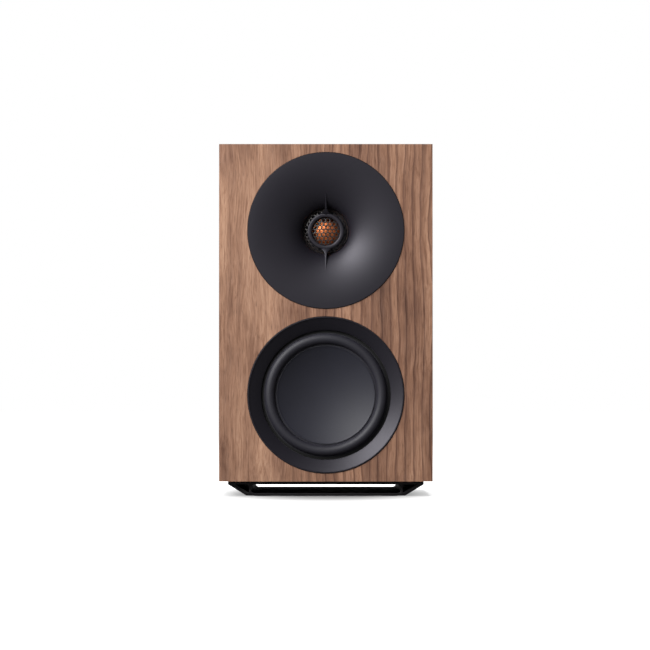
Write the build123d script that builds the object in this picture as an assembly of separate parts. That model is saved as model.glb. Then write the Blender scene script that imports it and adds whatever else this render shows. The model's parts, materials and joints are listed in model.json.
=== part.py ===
from build123d import *
from math import acos, degrees, radians, sqrt, tan
import os

# A passive two-way bookshelf loudspeaker in a ported cabinet, on a low extruded foot.
# Millimetres. +X is right seen from the front, -Y is the front, +Z is up.
# The origin is on the floor under the middle of the whole object.
# "Depth" below always means the distance behind the baffle's front face.

# Cabinet
CABINET_WIDTH = 200.0
CABINET_DEPTH = 250.0
CABINET_HEIGHT = 316.0
BAFFLE_THICK = 18.0
PANEL_THICK = 15.0
BRACE_THICK = 12.0
FOOT_HEIGHT = 14.0
FRONT_PROUD = 0.8
REAR_PROUD = 2.0
DRIVER_INSET = 81.0
OVERALL_HEIGHT = FOOT_HEIGHT + CABINET_HEIGHT
HALF_WIDTH = CABINET_WIDTH / 2
INNER_HALF_WIDTH = HALF_WIDTH - PANEL_THICK
FRONT_Y = FRONT_PROUD - (CABINET_DEPTH + FRONT_PROUD + REAR_PROUD) / 2
BACK_INNER = CABINET_DEPTH - PANEL_THICK
REAR_FACE = CABINET_DEPTH + REAR_PROUD
WOOFER_Z = FOOT_HEIGHT + DRIVER_INSET
TWEETER_Z = OVERALL_HEIGHT - DRIVER_INSET
BRACE_Z = FOOT_HEIGHT + CABINET_HEIGHT / 2

# Both round front mouldings have this outside radius and sit in rebates a little larger
MOULDING_R = 73.25
REBATE_R = MOULDING_R + 0.2
LIP_R = 72.3

# Waveguide
FLANGE_DEPTH = 5.5
GASKET_THICK = 0.3
THROAT_R = 21.5
THROAT_DEPTH = 21.5
WAVEGUIDE_BACK = 26.0
WAVEGUIDE_BOSS_R = 36.0
TWEETER_HOLE_R = 58.8

# Tweeter
DOME_R = 12.7
DOME_BASE = 24.0
DOME_RISE = 4.4
DOME_THICK = 0.3
MESH_RIM_R = 21.3
MESH_APEX = 16.8
MESH_CURVE_R = 50.0
MESH_THICK = 0.6
MESH_PITCH = 3.9
MESH_STRAND = 0.95
RING_INNER_R = 13.5
RING_OUTER_R = 16.0
RING_FRONT = 15.6
RING_BACK = 18.2
FIN_TIP_R = 35.0
FIN_ROOT = 2.2
TWEETER_FRAME_BACK = 28.5
TWEETER_PLATE_BACK = 31.5
TWEETER_MAGNET_BACK = 41.5
TWEETER_YOKE_BACK = 45.5
TWEETER_CUP_BACK = 60.0

# Woofer
TRIM_BACK = 7.8
TRIM_INNER_R = 60.9
WOOFER_FLANGE_R = 69.2
WOOFER_FLANGE_BACK = 11.3
WOOFER_GASKET_BACK = 11.8
WOOFER_HOLE_R = 59.6
WOOFER_SCREW_R = 65.0
ROLL_MID_R = 52.6
ROLL_R = 5.0
ROLL_THICK = 0.7
CONE_LIP_R = 46.3
DISH_R = 45.3
DISH_EDGE = 8.4
DISH_CENTRE = 18.4
CONE_THICK = 0.9
FORMER_R = 16.2
FORMER_THICK = 0.3
FORMER_END = 53.6
COIL_START = 41.0
COIL_END = 53.0
SPIDER_DEPTH = 33.8
SPIDER_THICK = 0.6
BASKET_BACK = 44.0
TOP_PLATE_BACK = 50.0
MAGNET_BACK = 66.0
YOKE_BACK = 72.0

# Port, terminal cup and binding posts
PORT_Z = 262.0
PORT_R = 22.0
PORT_FLANGE_R = 40.0
PORT_FLARE_R = 10.0
PORT_SCREW_R = 36.0
PORT_TUBE_END = 130.0
CUP_Z = 62.0
CUP_WIDTH = 64.0
CUP_HEIGHT = 44.0
CUP_WALL = 2.5
CUP_FLOOR = 226.0
POST_SPACING = 19.05
STEM_R = 3.0
STEM_END = 247.0
SOCKET_R = 2.05
SOCKET_LENGTH = 20.0
COLLAR_END = 229.0
WASHER_END = 230.2
NUT_END = 246.6
NUT_R = 7.5

# Foot
FOOT_START = 15.0
FOOT_END = 235.0
PAD_THICK = 0.5
SPACER_THICK = 0.8
FOOT_PLATE = 2.3
FOOT_CORNER = 3.0
FOOT_TOP_HALF = 92.0
FOOT_BASE_HALF = 74.6
RIB_OUTER = 72.2
RIB_THICK = 2.0
CELL_OUTER = 85.2
CELL_FLOOR = 3.2
FOOT_SCREW_X = 45.0
FOOT_SCREW_DEPTHS = (50.0, 200.0)
PAD_X = 60.0
PAD_DEPTHS = (28.0, 222.0)

# Crossover board
BOARD_FRONT = 228.4
BOARD_THICK = 1.6
BOARD_HALF = 52.0
BOARD_Z = (100.0, 160.0)

# Fixings: every screw fills its hole to within this gap
SCREW_GAP = 0.03
WIRE_R = 1.2


def axis_at(x, z):
    """Place whose own Z runs into the cabinet from the baffle's front face, so its z is depth."""
    return Plane(origin=(x, FRONT_Y, z), x_dir=(1, 0, 0), z_dir=(0, 1, 0)).location


def disc(radius, start, end):
    return Pos(0, 0, (start + end) / 2) * Cylinder(radius, end - start)


def tube(outer, inner, start, end):
    return disc(outer, start, end) - disc(inner, start, end)


def turned(*outline):
    """Solid turned about Z from an outline in radius and depth: points, or edges that close."""
    if isinstance(outline[0], tuple):
        outline = (Polyline(*outline, close=True),)
    return revolve(Plane.XZ * make_face(list(outline)), Axis.Z)


def block(x_range, depth_range, z_range):
    """Box given by its limits in X, depth and Z."""
    limits = (x_range, depth_range, z_range)
    size = [high - low for low, high in limits]
    middle = [(high + low) / 2 for low, high in limits]
    return Pos(middle[0], FRONT_Y + middle[1], middle[2]) * Box(*size)


def rounded_block(width, height, corner, start, end):
    """Rounded rectangle standing across the depth, drawn about its own axis."""
    outline = Pos(0, 0, start) * RectangleRounded(width, height, corner)
    return extrude(outline, end - start)


def group(shapes):
    """Separate solids kept together as one named piece."""
    return Compound([solid for shape in shapes for solid in shape.solids()])


def around(radius, count, start_angle=45.0):
    return list(PolarLocations(radius, count, start_angle=start_angle))


def countersunk_screw(shank_r, head_r, length):
    """Flat-headed screw with its head's face at zero, pointing along +Z."""
    head = head_r - shank_r
    cross = [Box(head_r * 1.1, 0.7, 1.0), Box(0.7, head_r * 1.1, 1.0)]
    return turned((0, 0), (head_r, 0), (shank_r, head), (shank_r, length - shank_r), (0, length)) - cross


def countersunk_hole(shank_r, head_r, length):
    head = head_r - shank_r
    return turned((0, -1), (head_r + SCREW_GAP, -1), (head_r + SCREW_GAP, 0), (shank_r + SCREW_GAP, head),
                  (shank_r + SCREW_GAP, length), (0, length))


def pan_screw(shank_r, length):
    """Round-headed screw whose head lies below zero and whose shank points along +Z."""
    head_r = shank_r * 2
    head_height = shank_r * 1.2
    head = disc(head_r, -head_height, 0)
    head = fillet(head.edges().sort_by(Axis.Z)[0], head_height * 0.45)
    slot = Pos(0, 0, -head_height) * Box(head_r * 1.2, shank_r * 0.4, head_height * 0.8)
    return head + disc(shank_r, 0, length) - slot


# Screw sizes: shank radius, head radius, length
WOOFER_SCREW = (1.9, 3.6, 9.8)
PANEL_SCREW = (1.5, 2.9, 13.0)
FOOT_SCREW = (2.0, 4.0, 15.0)
WAVEGUIDE_SCREW = (1.9, 15.4)
TWEETER_SCREW = (1.5, 7.0)
BOARD_SCREW = (1.4, 13.0)


def foot_screw_places():
    return [(x, FRONT_Y + depth) for x in (-FOOT_SCREW_X, FOOT_SCREW_X) for depth in FOOT_SCREW_DEPTHS]


def cup_screw_places():
    return [axis_at(x, CUP_Z + z) for x in (-39.5, 39.5) for z in (-29.5, 29.5)]


def port_screw_places():
    return [axis_at(0, PORT_Z) * place for place in around(PORT_SCREW_R, 4)]


def board_screw_places():
    low, high = BOARD_Z
    return [axis_at(x, z) for x in (-BOARD_HALF + 4, BOARD_HALF - 4) for z in (low + 4, high - 4)]


# ---------------------------------------------------------------- cabinet

def front_baffle():
    panel = block((-HALF_WIDTH, HALF_WIDTH), (0, BAFFLE_THICK), (FOOT_HEIGHT, OVERALL_HEIGHT))
    woofer = disc(REBATE_R, -1, 4.2) + disc(WOOFER_FLANGE_R + 0.4, 0, WOOFER_GASKET_BACK)
    woofer += disc(WOOFER_HOLE_R, 0, BAFFLE_THICK + 1)
    tweeter = disc(REBATE_R, -1, FLANGE_DEPTH + GASKET_THICK) + disc(TWEETER_HOLE_R, 0, BAFFLE_THICK + 1)
    panel -= axis_at(0, WOOFER_Z) * woofer
    panel -= axis_at(0, TWEETER_Z) * tweeter
    shank = WOOFER_SCREW[0] + SCREW_GAP
    panel -= [axis_at(0, WOOFER_Z) * place * disc(shank, 0, BAFFLE_THICK + 1)
              for place in around(WOOFER_SCREW_R, 4)]
    shank = WAVEGUIDE_SCREW[0] + SCREW_GAP
    panel -= [axis_at(0, TWEETER_Z) * place * disc(shank, 0, BAFFLE_THICK + 1) for place in around(66, 4)]
    return panel


def mitred_panel(length, wide):
    """Panel lying flat, its long outer face up, with both ends cut back at 45 degrees."""
    half = length / 2
    outline = Plane.XZ * make_face(Polyline((-half, 0), (half, 0), (half - PANEL_THICK, -PANEL_THICK),
                                            (-half + PANEL_THICK, -PANEL_THICK), close=True))
    return Pos(0, wide / 2, 0) * extrude(outline, wide)


def cabinet_shell():
    """Top, bottom and sides, folded round the back of the baffle with mitred corners."""
    wide = CABINET_DEPTH - BAFFLE_THICK
    y_middle = FRONT_Y + BAFFLE_THICK + wide / 2
    z_middle = FOOT_HEIGHT + CABINET_HEIGHT / 2
    lid = mitred_panel(CABINET_WIDTH, wide)
    side = mitred_panel(CABINET_HEIGHT, wide)
    top = Pos(0, y_middle, OVERALL_HEIGHT) * lid
    bottom = Pos(0, y_middle, FOOT_HEIGHT) * Rot(0, 180, 0) * lid
    right = Pos(HALF_WIDTH, y_middle, z_middle) * Rot(0, 90, 0) * side
    left = Pos(-HALF_WIDTH, y_middle, z_middle) * Rot(0, -90, 0) * side
    shank = FOOT_SCREW[0] + SCREW_GAP
    bottom -= [Pos(x, y, FOOT_HEIGHT) * Cylinder(shank, 26) for x, y in foot_screw_places()]
    return {"top_panel": top, "bottom_panel": bottom, "right_side_panel": right, "left_side_panel": left}


def back_panel():
    panel = block((-INNER_HALF_WIDTH, INNER_HALF_WIDTH), (BACK_INNER, CABINET_DEPTH),
                  (FOOT_HEIGHT + PANEL_THICK, OVERALL_HEIGHT - PANEL_THICK))
    panel -= axis_at(0, PORT_Z) * disc(29.5, BACK_INNER - 1, CABINET_DEPTH + 1)
    hole = rounded_block(CUP_WIDTH + 2 * CUP_WALL + 1, CUP_HEIGHT + 2 * CUP_WALL + 1, 10, BACK_INNER - 1,
                         CABINET_DEPTH + 1)
    panel -= axis_at(0, CUP_Z) * hole
    pilot = disc(PANEL_SCREW[0] + SCREW_GAP, CABINET_DEPTH - 12, CABINET_DEPTH + 1)
    panel -= [place * pilot for place in cup_screw_places() + port_screw_places()]
    board_pilot = disc(BOARD_SCREW[0] + SCREW_GAP, BACK_INNER - 1, BACK_INNER + 7)
    panel -= [place * board_pilot for place in board_screw_places()]
    return panel


def window_brace():
    """Shelf between the two drivers that ties the sides, baffle and back together."""
    z_range = (BRACE_Z - BRACE_THICK / 2, BRACE_Z + BRACE_THICK / 2)
    shelf = block((-INNER_HALF_WIDTH, INNER_HALF_WIDTH), (BAFFLE_THICK, BACK_INNER), z_range)
    for side in (-1, 1):
        window = block((-28, 28), (52, 204), (z_range[0] - 1, z_range[1] + 1))
        window = fillet(window.edges().filter_by(Axis.Z), 12)
        shelf -= Pos(side * 38, 0, 0) * window
    return shelf


def acoustic_wadding():
    slabs = []
    for side in (-1, 1):
        x_range = sorted((side * 70.0, side * (INNER_HALF_WIDTH - 0.2)))
        for z_range in ((40, 160), (184, 296)):
            slabs.append(block(x_range, (70, 215), z_range))
    slabs.append(block((-64, 64), (62, 215), (299, OVERALL_HEIGHT - PANEL_THICK - 0.2)))
    return group(fillet(slab.edges(), 3) for slab in slabs)


# ---------------------------------------------------------------- tweeter

def flare_arc(gap=0.0, start=0.0, end=90.0):
    """The horn's flare: a quarter ellipse, steep at the throat (0 degrees) and flat at the rim (90)."""
    return EllipticalCenterArc((LIP_R, THROAT_DEPTH), LIP_R - THROAT_R + gap,
                               THROAT_DEPTH + FRONT_PROUD + gap,
                               start_angle=180 + start, arc_size=end - start)


def tweeter_waveguide():
    back = Polyline((LIP_R, -FRONT_PROUD), (MOULDING_R, -FRONT_PROUD), (MOULDING_R, FLANGE_DEPTH),
                    (58.0, FLANGE_DEPTH), (46.0, 8.6), (38.0, 13.0), (WAVEGUIDE_BOSS_R, 15.0),
                    (WAVEGUIDE_BOSS_R, WAVEGUIDE_BACK), (THROAT_R, WAVEGUIDE_BACK), (THROAT_R, THROAT_DEPTH))
    horn = turned(flare_arc(), back)
    shank_r, length = WAVEGUIDE_SCREW
    threaded = disc(shank_r + SCREW_GAP, BAFFLE_THICK - length - 0.2, FLANGE_DEPTH + 1)
    horn -= [place * threaded for place in around(66, 4)]
    shank_r, length = TWEETER_SCREW
    threaded = disc(shank_r + SCREW_GAP, TWEETER_FRAME_BACK - length - 0.2, WAVEGUIDE_BACK + 1)
    horn -= [place * threaded for place in around(33, 3, -90)]
    return axis_at(0, TWEETER_Z) * horn


def mesh_depth(radius):
    return MESH_APEX + MESH_CURVE_R - sqrt(MESH_CURVE_R ** 2 - radius ** 2)


def tweeter_mesh():
    """Domed guard of hexagonal cells, with a rim that stands on the tweeter's frame."""
    edge_r = MESH_RIM_R - 1.0
    front = ThreePointArc((0, MESH_APEX), (edge_r / 2, mesh_depth(edge_r / 2)), (edge_r, mesh_depth(edge_r)))
    rear = ThreePointArc((0, MESH_APEX + MESH_THICK), (edge_r / 2, mesh_depth(edge_r / 2) + MESH_THICK),
                         (edge_r, mesh_depth(edge_r) + MESH_THICK))
    cap = turned(front, Line(front @ 1, rear @ 1), rear, Line(rear @ 0, front @ 0))
    cell = RegularPolygon((MESH_PITCH - MESH_STRAND) / 2, 6, major_radius=False, rotation=30)
    row_height = MESH_PITCH * sqrt(3) / 2
    reach = edge_r - MESH_PITCH / 2
    cutters = []
    for row in range(-6, 7):
        for column in range(-6, 7):
            x = (column + 0.5 * (row % 2)) * MESH_PITCH
            y = row * row_height
            if x * x + y * y < reach * reach:
                cutters.append(Pos(x, y, MESH_APEX - 2) * extrude(cell, 12))
    cap -= cutters
    rim_front = mesh_depth(edge_r) - 0.2
    rim = tube(MESH_RIM_R, edge_r - 0.1, rim_front, DOME_BASE + 0.4)
    return axis_at(0, TWEETER_Z) * (cap + rim)


def tweeter_phase_ring():
    """Ring in front of the dome, held to the horn's wall by a thin fin above and one below."""
    ring = tube(RING_OUTER_R, RING_INNER_R, RING_FRONT, RING_BACK)
    ring = fillet(ring.edges().group_by(Axis.Z)[0], 0.9)
    gap = 0.15
    tip_angle = degrees(acos((LIP_R - FIN_TIP_R) / (LIP_R - THROAT_R + gap)))
    wall = flare_arc(gap, 5.0, tip_angle)
    side_view = Plane.XZ * make_face([
        wall, Line(wall @ 0, (20.4, 19.6)), Line((20.4, 19.6), (16.0, RING_BACK)),
        Line((16.0, RING_BACK), (15.0, RING_BACK)), Line((15.0, RING_BACK), (15.0, RING_FRONT + 0.5)),
        ThreePointArc((15.0, RING_FRONT + 0.5), (24.0, 11.2), wall @ 1)])
    blade = extrude(side_view, 6, both=True)
    half = FIN_ROOT / 2
    front_view = make_face([
        Line((14.6, -5.2), (14.6, 5.2)), ThreePointArc((14.6, 5.2), (17.2, 2.1), (21.0, half)),
        Line((21.0, half), (FIN_TIP_R + 1, 0.12)), Line((FIN_TIP_R + 1, 0.12), (FIN_TIP_R + 1, -0.12)),
        Line((FIN_TIP_R + 1, -0.12), (21.0, -half)),
        ThreePointArc((21.0, -half), (17.2, -2.1), (14.6, -5.2))])
    fin = blade & extrude(front_view, 40)
    ring += [Rot(0, 0, 90) * fin, Rot(0, 0, -90) * fin]
    return axis_at(0, TWEETER_Z) * ring


def cap_edges(radius, base, rise):
    """Arc of a shallow dome that rises forward from its base to its middle."""
    curve_r = (radius ** 2 + rise ** 2) / (2 * rise)
    half = radius / 2
    middle = base - rise + curve_r - sqrt(curve_r ** 2 - half ** 2)
    return ThreePointArc((radius, base), (half, middle), (0, base - rise))


def tweeter_dome():
    front = cap_edges(DOME_R, DOME_BASE, DOME_RISE)
    rear = cap_edges(DOME_R - DOME_THICK, DOME_BASE, DOME_RISE - DOME_THICK)
    cap = turned(front, Line(front @ 1, rear @ 1), rear, Line(rear @ 0, front @ 0))
    return axis_at(0, TWEETER_Z) * cap


def roll(inner_r, outer_r, lip_in, lip_out, base, thick):
    """Half roll between two flat lips, bulging forward: the edge suspension of a cone or dome."""
    mid_r = (inner_r + outer_r) / 2
    front_r = (outer_r - inner_r) / 2
    rear_r = front_r - thick
    back = base + thick
    front_end = sqrt(front_r ** 2 - (thick / 2) ** 2)
    rear_end = sqrt(rear_r ** 2 - (thick / 2) ** 2)
    centre = base + thick / 2
    return turned(
        Line((lip_out, base), (mid_r + front_end, base)),
        ThreePointArc((mid_r + front_end, base), (mid_r, centre - front_r), (mid_r - front_end, base)),
        Line((mid_r - front_end, base), (lip_in, base)), Line((lip_in, base), (lip_in, back)),
        Line((lip_in, back), (mid_r - rear_end, back)),
        ThreePointArc((mid_r - rear_end, back), (mid_r, centre - rear_r), (mid_r + rear_end, back)),
        Line((mid_r + rear_end, back), (lip_out, back)), Line((lip_out, back), (lip_out, base)))


def tweeter_pieces():
    frame = turned((17.2, DOME_BASE + 0.4), (THROAT_R - 0.1, DOME_BASE + 0.4),
                   (THROAT_R - 0.1, WAVEGUIDE_BACK), (WAVEGUIDE_BOSS_R, WAVEGUIDE_BACK),
                   (WAVEGUIDE_BOSS_R, TWEETER_FRAME_BACK),
                   (17.2, TWEETER_FRAME_BACK))
    shank = TWEETER_SCREW[0] + 0.1
    frame -= [place * disc(shank, 20, 30) for place in around(33, 3, -90)]
    yoke = disc(30, TWEETER_MAGNET_BACK, TWEETER_YOKE_BACK) + disc(12, 27, TWEETER_MAGNET_BACK)
    yoke -= disc(4, 26, TWEETER_YOKE_BACK + 1)
    cup = disc(22, TWEETER_YOKE_BACK, TWEETER_CUP_BACK) - disc(20, TWEETER_YOKE_BACK, TWEETER_CUP_BACK - 2)
    cup = fillet(cup.edges().sort_by(Axis.Z)[-1], 3)
    pieces = {
        "tweeter_frame": frame,
        "tweeter_surround": roll(12.9, 17.1, 12.75, 20.0, DOME_BASE, 0.4),
        "tweeter_voice_coil": tube(13.05, 12.45, DOME_BASE + 0.45, 33.0),
        "tweeter_top_plate": tube(30, 13.6, TWEETER_FRAME_BACK, TWEETER_PLATE_BACK),
        "tweeter_magnet": tube(30, 15.5, TWEETER_PLATE_BACK, TWEETER_MAGNET_BACK),
        "tweeter_yoke": yoke,
        "tweeter_rear_chamber": cup,
    }
    return {name: axis_at(0, TWEETER_Z) * piece for name, piece in pieces.items()}


def tweeter_screws():
    """Three that hold the tweeter to the horn, and four that hold the horn to the baffle."""
    shank_r, length = TWEETER_SCREW
    into_horn = Pos(0, 0, TWEETER_FRAME_BACK) * Rot(180, 0, 0) * pan_screw(shank_r, length)
    screws = [place * into_horn for place in around(33, 3, -90)]
    shank_r, length = WAVEGUIDE_SCREW
    through_baffle = Pos(0, 0, BAFFLE_THICK) * Rot(180, 0, 0) * pan_screw(shank_r, length)
    screws += [place * through_baffle for place in around(66, 4)]
    return group(axis_at(0, TWEETER_Z) * screw for screw in screws)


# ---------------------------------------------------------------- woofer

def woofer_trim_ring():
    ring = turned((MOULDING_R, -FRONT_PROUD), (MOULDING_R, 4.2), (WOOFER_FLANGE_R + 0.2, 4.2),
                  (WOOFER_FLANGE_R + 0.2, TRIM_BACK), (TRIM_INNER_R, TRIM_BACK), (TRIM_INNER_R, 6.4),
                  (LIP_R - 0.3, -0.2), (LIP_R + 0.1, -FRONT_PROUD))
    return axis_at(0, WOOFER_Z) * ring


def woofer_basket():
    basket = turned((WOOFER_FLANGE_R, TRIM_BACK), (WOOFER_FLANGE_R, WOOFER_FLANGE_BACK),
                    (59.3, WOOFER_FLANGE_BACK), (46.2, 35.5), (46.2, 42.5), (44.7, BASKET_BACK),
                    (28.0, BASKET_BACK), (28.0, 41.6), (42.6, 41.6), (42.6, 36.6), (39.0, 36.6),
                    (39.0, 34.4), (43.9, 34.4), (56.6, 11.0), (57.0, 9.1), (60.8, 9.1), (60.8, TRIM_BACK))
    windows = fillet((Pos(0, 0, 23.5) * Box(24, 36, 17)).edges().filter_by(Axis.X), 4)
    basket -= [place * windows for place in around(51, 6, 0)]
    hole = Pos(0, 0, TRIM_BACK + 0.1) * countersunk_hole(*WOOFER_SCREW)
    basket -= [place * hole for place in around(WOOFER_SCREW_R, 4)]
    return axis_at(0, WOOFER_Z) * basket


def woofer_cone():
    """One-piece dish with a raised lip just inside its glued edge, and a neck for the coil former."""
    front = dish_arc(DISH_EDGE, DISH_CENTRE)
    rear = dish_arc(DISH_EDGE + CONE_THICK, DISH_CENTRE + CONE_THICK)
    edge = Polyline(front @ 0, (45.9, 8.0), (CONE_LIP_R, 8.3), (CONE_LIP_R, 9.2), (48.0, 9.2), (48.0, 10.0),
                    (46.0, 10.0), rear @ 0)
    dish = turned(front, edge, rear, Line(front @ 1, rear @ 1))
    neck = tube(FORMER_R + 1.1, FORMER_R + 0.1, DISH_CENTRE - 0.8, 21.5)
    return axis_at(0, WOOFER_Z) * (dish + neck)


def dish_arc(edge, centre):
    """Arc of the cone's dish in radius and depth, from its rim to its middle."""
    sag = centre - edge
    curve_r = (DISH_R ** 2 + sag ** 2) / (2 * sag)
    half = DISH_R / 2
    middle = centre - curve_r + sqrt(curve_r ** 2 - half ** 2)
    return ThreePointArc((DISH_R, edge), (half, middle), (0, centre))


def woofer_spider():
    """Corrugated fabric disc that centres the coil former, glued to the basket's shelf."""
    inner_r, outer_r, waves, height = 18.5, 38.5, 10, 1.1
    step = (outer_r - inner_r) / waves
    front, rear = [], []
    for wave in range(waves):
        start = inner_r + wave * step
        swing = height if wave % 2 else -height
        for edges, depth in ((front, SPIDER_DEPTH), (rear, SPIDER_DEPTH + SPIDER_THICK)):
            crest = (start + step / 2, depth + swing)
            edges.append(ThreePointArc((start, depth), crest, (start + step, depth)))
    inner_lip = Polyline((inner_r, SPIDER_DEPTH), (FORMER_R + 0.1, SPIDER_DEPTH),
                         (FORMER_R + 0.1, SPIDER_DEPTH + SPIDER_THICK),
                         (inner_r, SPIDER_DEPTH + SPIDER_THICK))
    outer_lip = Polyline((outer_r, SPIDER_DEPTH), (43.4, SPIDER_DEPTH), (43.4, SPIDER_DEPTH + SPIDER_THICK),
                         (outer_r, SPIDER_DEPTH + SPIDER_THICK))
    return axis_at(0, WOOFER_Z) * turned(*front, *rear, inner_lip, outer_lip)


def woofer_pieces():
    yoke = disc(40, MAGNET_BACK, YOKE_BACK) + disc(15.3, BASKET_BACK + 0.2, MAGNET_BACK)
    yoke -= disc(5, BASKET_BACK - 1, YOKE_BACK + 1)
    yoke = chamfer(yoke.edges().sort_by(Axis.Z)[-2:], 1)
    pieces = {
        "woofer_surround": roll(ROLL_MID_R - ROLL_R, ROLL_MID_R + ROLL_R, CONE_LIP_R + 0.1, 60.5, 8.4,
                                ROLL_THICK),
        "woofer_coil_former": tube(FORMER_R, FORMER_R - FORMER_THICK, DISH_CENTRE, FORMER_END),
        "woofer_voice_coil": tube(16.8, FORMER_R + 0.02, COIL_START, COIL_END),
        "woofer_top_plate": tube(40, 17.4, BASKET_BACK, TOP_PLATE_BACK),
        "woofer_magnet": tube(45, 23, TOP_PLATE_BACK, MAGNET_BACK),
        "woofer_yoke": yoke,
        "woofer_shorting_ring": tube(19, 15.35, 60.8, MAGNET_BACK),
    }
    return {name: axis_at(0, WOOFER_Z) * piece for name, piece in pieces.items()}


def woofer_screws():
    screw = Pos(0, 0, TRIM_BACK + 0.1) * countersunk_screw(*WOOFER_SCREW)
    return group(axis_at(0, WOOFER_Z) * place * screw for place in around(WOOFER_SCREW_R, 4))


def tinsel_leads():
    """Two braided leads from the terminals to the coil former, passing through the basket's windows."""
    leads = []
    for side in (-1, 1):
        leads.append(swept_wire([(side * 9.5, 35.0, WOOFER_Z + 49.4), (side * 12.5, 28.5, WOOFER_Z + 49.6),
                                 (side * 9.0, 25.0, WOOFER_Z + 34.0),
                                 (side * 2.5, 24.0, WOOFER_Z + 16.95)], 0.5))
    return group(leads)


def driver_terminals():
    """Push-on tabs on an insulating plate, one set above the woofer's magnet and one below the tweeter's."""
    plate = Pos(0, -47.2, 39.0) * Box(18, 1.6, 6)
    tabs = [Pos(x, -52.0, 39.2) * Box(4.8, 8, 0.8) for x in (-5, 5)]
    small_plate = Pos(0, 33.3, 29.3) * Box(14, 4, 1.6)
    small_tabs = [Pos(x, 33.3, 34.0) * Box(2.8, 0.8, 8) for x in (-4, 4)]
    return group([axis_at(0, WOOFER_Z) * (plate + tabs), axis_at(0, TWEETER_Z) * (small_plate + small_tabs)])


def driver_gaskets():
    woofer = tube(WOOFER_FLANGE_R - 0.4, 60.2, WOOFER_FLANGE_BACK, WOOFER_GASKET_BACK)
    woofer -= [place * disc(2.6, 0, 20) for place in around(WOOFER_SCREW_R, 4)]
    waveguide = tube(72.6, 59.4, FLANGE_DEPTH, FLANGE_DEPTH + GASKET_THICK)
    waveguide -= [place * disc(2.6, 0, 20) for place in around(66, 4)]
    return group([axis_at(0, WOOFER_Z) * woofer, axis_at(0, TWEETER_Z) * waveguide])


# ---------------------------------------------------------------- back of the cabinet

def port_flare():
    neck_r = PORT_R + 2.05
    outline = [
        ThreePointArc((PORT_R + PORT_FLARE_R, REAR_FACE),
                      (PORT_R + PORT_FLARE_R * (1 - sqrt(0.5)), REAR_FACE - PORT_FLARE_R * (1 - sqrt(0.5))),
                      (PORT_R, REAR_FACE - PORT_FLARE_R)),
        Polyline((PORT_R, REAR_FACE - PORT_FLARE_R), (PORT_R, 225), (neck_r, 225), (neck_r, 213),
                 (neck_r + 2.4, 213), (neck_r + 2.4, 232), (29.2, 235), (29.2, CABINET_DEPTH),
                 (PORT_FLANGE_R, CABINET_DEPTH), (PORT_FLANGE_R, REAR_FACE - 0.8),
                 (PORT_FLANGE_R - 0.8, REAR_FACE), (PORT_R + PORT_FLARE_R, REAR_FACE))]
    flare = turned(*outline)
    hole = Pos(0, 0, REAR_FACE) * Rot(180, 0, 0) * countersunk_hole(*PANEL_SCREW)
    flare -= [place * hole for place in around(PORT_SCREW_R, 4)]
    return axis_at(0, PORT_Z) * flare


def port_tube():
    """Straight duct with a rolled mouth at its inner end."""
    wall_r = PORT_R + 2.0
    mouth = PORT_TUBE_END + 8
    outline = [
        Polyline((PORT_R, 225), (wall_r, 225), (wall_r, mouth + 2)),
        ThreePointArc((wall_r, mouth + 2), (wall_r + 2.0, mouth - 2.8), (wall_r + 6.5, mouth - 5.0)),
        Polyline((wall_r + 6.5, mouth - 5.0), (wall_r + 6.5, PORT_TUBE_END), (PORT_R + 8, PORT_TUBE_END)),
        ThreePointArc((PORT_R + 8, PORT_TUBE_END),
                      (PORT_R + 8 * (1 - sqrt(0.5)), PORT_TUBE_END + 8 * (1 - sqrt(0.5))), (PORT_R, mouth)),
        Line((PORT_R, mouth), (PORT_R, 225))]
    return axis_at(0, PORT_Z) * turned(*outline)


def post_places():
    return {"red": axis_at(POST_SPACING / 2, CUP_Z), "black": axis_at(-POST_SPACING / 2, CUP_Z)}


def terminal_cup():
    cup = rounded_block(CUP_WIDTH + 2 * CUP_WALL, CUP_HEIGHT + 2 * CUP_WALL, 9.5, CUP_FLOOR - CUP_WALL,
                        CABINET_DEPTH)
    flange = rounded_block(90, 70, 10, CABINET_DEPTH, REAR_FACE)
    flange = chamfer(flange.edges().group_by(Axis.Z)[-1], 0.6)
    cup = cup + flange - rounded_block(CUP_WIDTH, CUP_HEIGHT, 7, CUP_FLOOR, REAR_FACE + 1)
    cup = axis_at(0, CUP_Z) * cup
    cup -= [place * disc(4.55, CUP_FLOOR - 5, CUP_FLOOR + 1) for place in post_places().values()]
    hole = Pos(0, 0, REAR_FACE) * Rot(180, 0, 0) * countersunk_hole(*PANEL_SCREW)
    return cup - [place * hole for place in cup_screw_places()]


def rear_panel_screws():
    screw = Pos(0, 0, REAR_FACE) * Rot(180, 0, 0) * countersunk_screw(*PANEL_SCREW)
    return group(place * screw for place in cup_screw_places() + port_screw_places())


def thumb_nut():
    """Fluted cap that screws along the stem and clamps a wire or spade under its washer."""
    nut = disc(NUT_R, WASHER_END, NUT_END)
    nut = chamfer(nut.edges().group_by(Axis.Z)[-1], 0.8)
    nut = chamfer(nut.edges().group_by(Axis.Z)[0], 0.6)
    nut -= [place * disc(1.3, WASHER_END + 3, NUT_END + 1) for place in around(NUT_R + 0.5, 12, 0)]
    return nut - disc(STEM_R + 0.06, WASHER_END - 1, NUT_END + 1)


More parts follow.
